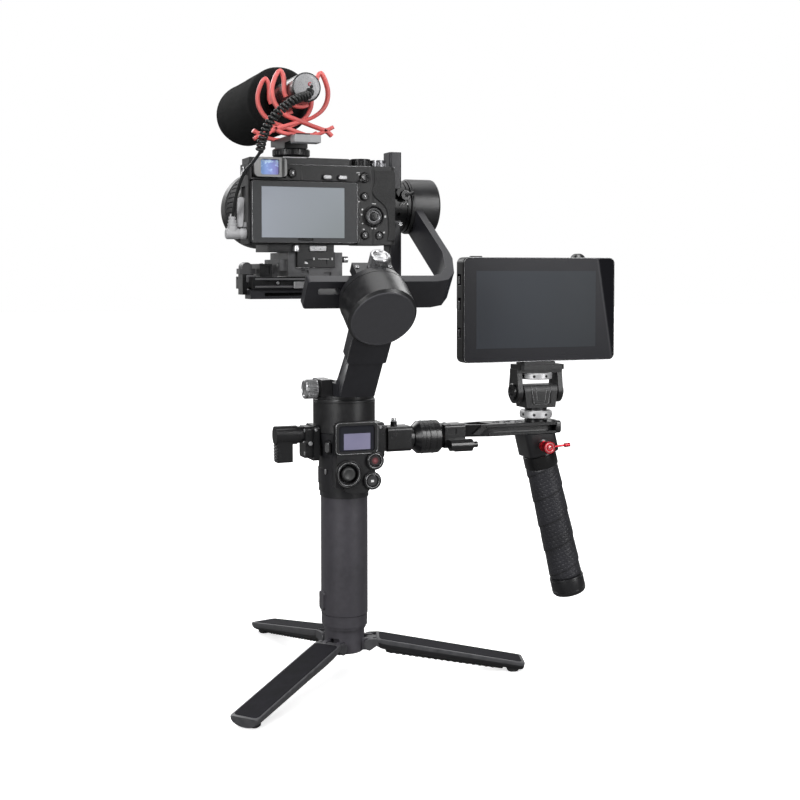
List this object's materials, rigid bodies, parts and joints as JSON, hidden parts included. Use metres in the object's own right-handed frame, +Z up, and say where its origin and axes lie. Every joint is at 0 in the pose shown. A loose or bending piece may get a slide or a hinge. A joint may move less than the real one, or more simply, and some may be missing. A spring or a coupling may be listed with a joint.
{
  "type": "cinema camera rig",
  "caption": "Hand-held three-axis gimbal on a folding mini tripod, carrying a camera with lens and microphone, with a side arm, monitor and wrapped handle.",
  "frame": {"origin": "centre of the tripod hub's underside, on the pan axis", "axes": "+X to the side handle, +Y forward along the lens, +Z up the grip"},
  "size_m": [0.3407, 0.278, 0.4735],
  "materials": {
    "grip_plastic": "satin",
    "black_plastic": "satin",
    "gimbal_metal": "satin",
    "black_metal": "satin",
    "silver_metal": "satin",
    "steel": "brushed",
    "grey_metal": "satin",
    "red_metal": "gloss",
    "red_plastic": "satin",
    "foam": "matte",
    "wrap": "matte",
    "rubber": "matte",
    "screen": "gloss",
    "gimbal_screen": "gloss",
    "optics": "gloss",
    "cell_wrap": "gloss",
    "camera_shell": "satin"
  },
  "bodies": {
    "grip": {"tripod_hub": "grip_plastic", "leg_pins": "steel", "grip_shell": "grip_plastic", "battery_cells": "cell_wrap", "head_shell": "gimbal_metal", "control_panel": "black_plastic", "display_glass": "gimbal_screen", "left_clamp": "black_metal", "side_clamp": "black_metal", "pan_motor_case": "gimbal_metal"},
    "leg_right": {"leg_right": "grip_plastic"},
    "leg_front": {"leg_front": "grip_plastic"},
    "leg_rear": {"leg_rear": "grip_plastic"},
    "joystick_cradle": {"joystick_cradle": "black_plastic"},
    "joystick": {"joystick_cap": "rubber"},
    "record_button": {"record_button": "red_plastic"},
    "mode_button": {"mode_button": "black_plastic"},
    "trigger": {"trigger": "black_plastic"},
    "clamp_knob": {"clamp_knob": "black_metal"},
    "pan_rotor": {"pan_rotor": "gimbal_metal"},
    "pan_knob": {"pan_knob": "silver_metal"},
    "pan_arm": {"pan_arm": "gimbal_metal", "roll_motor_case": "gimbal_metal"},
    "roll_rotor": {"roll_rotor": "gimbal_metal"},
    "roll_knob": {"roll_knob": "silver_metal"},
    "roll_arm": {"roll_arm": "gimbal_metal", "tilt_motor_case": "gimbal_metal"},
    "tilt_rotor": {"tilt_rotor": "gimbal_metal"},
    "camera_arm": {"camera_arm": "gimbal_metal", "base_block": "black_metal", "qr_clamp": "grey_metal"},
    "qr_lever": {"qr_lever": "silver_metal"},
    "camera": {"camera_plate": "grey_metal", "camera_body": "camera_shell", "eyepiece": "grey_metal", "camera_optics": "optics", "rear_buttons": "black_plastic", "lens_barrel": "black_metal", "mic_base": "black_plastic", "mic_lyres": "red_plastic", "mic_tube": "black_metal", "mic_foam": "foam", "mic_cable": "rubber"},
    "zoom_ring": {"zoom_ring": "rubber"},
    "focus_ring": {"focus_ring": "rubber"},
    "lcd_screen": {"lcd_screen": "screen"},
    "mode_dial": {"mode_dial": "black_metal"},
    "rear_dial": {"rear_dial": "silver_metal"},
    "shutter_button": {"shutter_button": "silver_metal"},
    "control_wheel": {"control_wheel": "silver_metal"},
    "side_arm": {"lock_drum": "black_metal", "arm_clamp": "black_metal", "cheese_plate": "black_metal", "handle_core": "black_metal", "handle_wrap": "wrap"},
    "red_lever": {"red_lever": "red_metal"},
    "monitor_swivel": {"mount_yoke": "black_metal"},
    "monitor": {"mount_bracket": "black_metal", "monitor_shell": "black_plastic", "monitor_glass": "screen"}
  },
  "joints": [
    {"name": "leg_right_fold", "type": "hinge", "parent": "grip", "child": "leg_right", "pos_m": [0.01855, -0.00603, 0.006], "axis": [0.309, 0.9511, 0], "range_deg": [0, 80]},
    {"name": "leg_front_fold", "type": "hinge", "parent": "grip", "child": "leg_front", "pos_m": [-0.00405, 0.01907, 0.006], "axis": [-0.9781, -0.2079, 0], "range_deg": [0, 80]},
    {"name": "leg_rear_fold", "type": "hinge", "parent": "grip", "child": "leg_rear", "pos_m": [-0.01449, -0.01305, 0.006], "axis": [0.6691, -0.7431, 0], "range_deg": [0, 80]},
    {"name": "pan", "type": "hinge", "parent": "grip", "child": "pan_rotor", "pos_m": [0, 0, 0.19], "axis": [0, 0, 1], "range_deg": [-235, 60]},
    {"name": "pan_arm_slide", "type": "slide", "parent": "pan_rotor", "child": "pan_arm", "axis": [0, 1, 0], "range_m": [-0.01, 0.004]},
    {"name": "roll", "type": "hinge", "parent": "pan_arm", "child": "roll_rotor", "pos_m": [0, 0.031, 0.346], "axis": [0, 0.809, 0.5878], "range_deg": [-90, 90]},
    {"name": "roll_arm_slide", "type": "slide", "parent": "roll_rotor", "child": "roll_arm", "axis": [1, 0, 0], "range_m": [-0.012, 0.008]},
    {"name": "tilt", "type": "hinge", "parent": "roll_arm", "child": "tilt_rotor", "pos_m": [0, 0.031, 0.346], "axis": [1, 0, 0], "range_deg": [-90, 60]},
    {"name": "height_slide", "type": "slide", "parent": "tilt_rotor", "child": "camera_arm", "axis": [0, 0, 1], "range_m": [-0.008, 0.012]},
    {"name": "plate_slide", "type": "slide", "parent": "camera_arm", "child": "camera", "axis": [0, 1, 0], "range_m": [-0.003, 0.012]},
    {"name": "lcd_tilt", "type": "hinge", "parent": "camera", "child": "lcd_screen", "pos_m": [-0.031, -0.0012, 0.3606], "axis": [-1, 0, 0], "range_deg": [0, 80]},
    {"name": "side_arm_twist", "type": "hinge", "parent": "grip", "child": "side_arm", "pos_m": [0.06, 0, 0.163], "axis": [1, 0, 0], "range_deg": [-90, 90]},
    {"name": "monitor_turn", "type": "hinge", "parent": "side_arm", "child": "monitor_swivel", "pos_m": [0.1656, 0, 0.178], "axis": [0, 0, 1], "range_deg": [-180, 180]},
    {"name": "monitor_tilt", "type": "hinge", "parent": "monitor_swivel", "child": "monitor", "pos_m": [0.1656, 0, 0.196], "axis": [1, 0, 0], "range_deg": [-90, 90]},
    {"name": "red_lever_turn", "type": "hinge", "parent": "side_arm", "child": "red_lever", "pos_m": [0.16569, 0, 0.15251], "axis": [0, 1, 0], "range_deg": [-60, 120]},
    {"name": "focus_turn", "type": "hinge", "parent": "camera", "child": "focus_ring", "pos_m": [-0.034, 0.09, 0.3455], "axis": [0, 1, 0], "continuous": true},
    {"name": "zoom_turn", "type": "hinge", "parent": "camera", "child": "zoom_ring", "pos_m": [-0.034, 0.06, 0.3455], "axis": [0, 1, 0], "range_deg": [0, 75]},
    {"name": "joystick_side", "type": "hinge", "parent": "grip", "child": "joystick_cradle", "pos_m": [-0.0068, -0.024, 0.142], "axis": [0, 0, 1], "range_deg": [-12, 12], "stiffness_Nm_per_rad": 0.02},
    {"name": "joystick_updown", "type": "hinge", "parent": "joystick_cradle", "child": "joystick", "pos_m": [-0.0068, -0.024, 0.142], "axis": [1, 0, 0], "range_deg": [-12, 12], "stiffness_Nm_per_rad": 0.02},
    {"name": "record_press", "type": "slide", "parent": "grip", "child": "record_button", "axis": [0, 1, 0], "range_m": [0, 0.0008], "stiffness_N_per_m": 500},
    {"name": "mode_press", "type": "slide", "parent": "grip", "child": "mode_button", "axis": [0, 1, 0], "range_m": [0, 0.0008], "stiffness_N_per_m": 500},
    {"name": "trigger_pull", "type": "hinge", "parent": "grip", "child": "trigger", "pos_m": [0, 0.015, 0.1585], "axis": [-1, 0, 0], "range_deg": [0, 12], "stiffness_Nm_per_rad": 0.05},
    {"name": "shutter_press", "type": "slide", "parent": "camera", "child": "shutter_button", "axis": [0, 0, -1], "range_m": [0, 0.0012], "stiffness_N_per_m": 500},
    {"name": "clamp_knob_turn", "type": "hinge", "parent": "grip", "child": "clamp_knob", "pos_m": [-0.045, 0, 0.1695], "axis": [1, 0, 0], "continuous": true},
    {"name": "pan_knob_turn", "type": "hinge", "parent": "pan_rotor", "child": "pan_knob", "pos_m": [-0.028, -0.005, 0.2045], "axis": [1, 0, 0], "continuous": true},
    {"name": "roll_knob_turn", "type": "hinge", "parent": "roll_rotor", "child": "roll_knob", "pos_m": [0.0025, -0.0706, 0.29938], "axis": [0, -0.5878, 0.809], "continuous": true},
    {"name": "plate_lever_turn", "type": "hinge", "parent": "camera_arm", "child": "qr_lever", "pos_m": [0.002, 0.03, 0.303], "axis": [1, 0, 0], "range_deg": [0, 25]},
    {"name": "control_wheel_turn", "type": "hinge", "parent": "camera", "child": "control_wheel", "pos_m": [0.0241, 0, 0.3363], "axis": [0, 1, 0], "continuous": true},
    {"name": "mode_dial_turn", "type": "hinge", "parent": "camera", "child": "mode_dial", "pos_m": [0.0185, 0.014, 0.376], "axis": [0, 0, 1], "continuous": true},
    {"name": "rear_dial_turn", "type": "hinge", "parent": "camera", "child": "rear_dial", "pos_m": [0.0325, 0.013, 0.376], "axis": [0, 0, 1], "continuous": true}
  ]
}
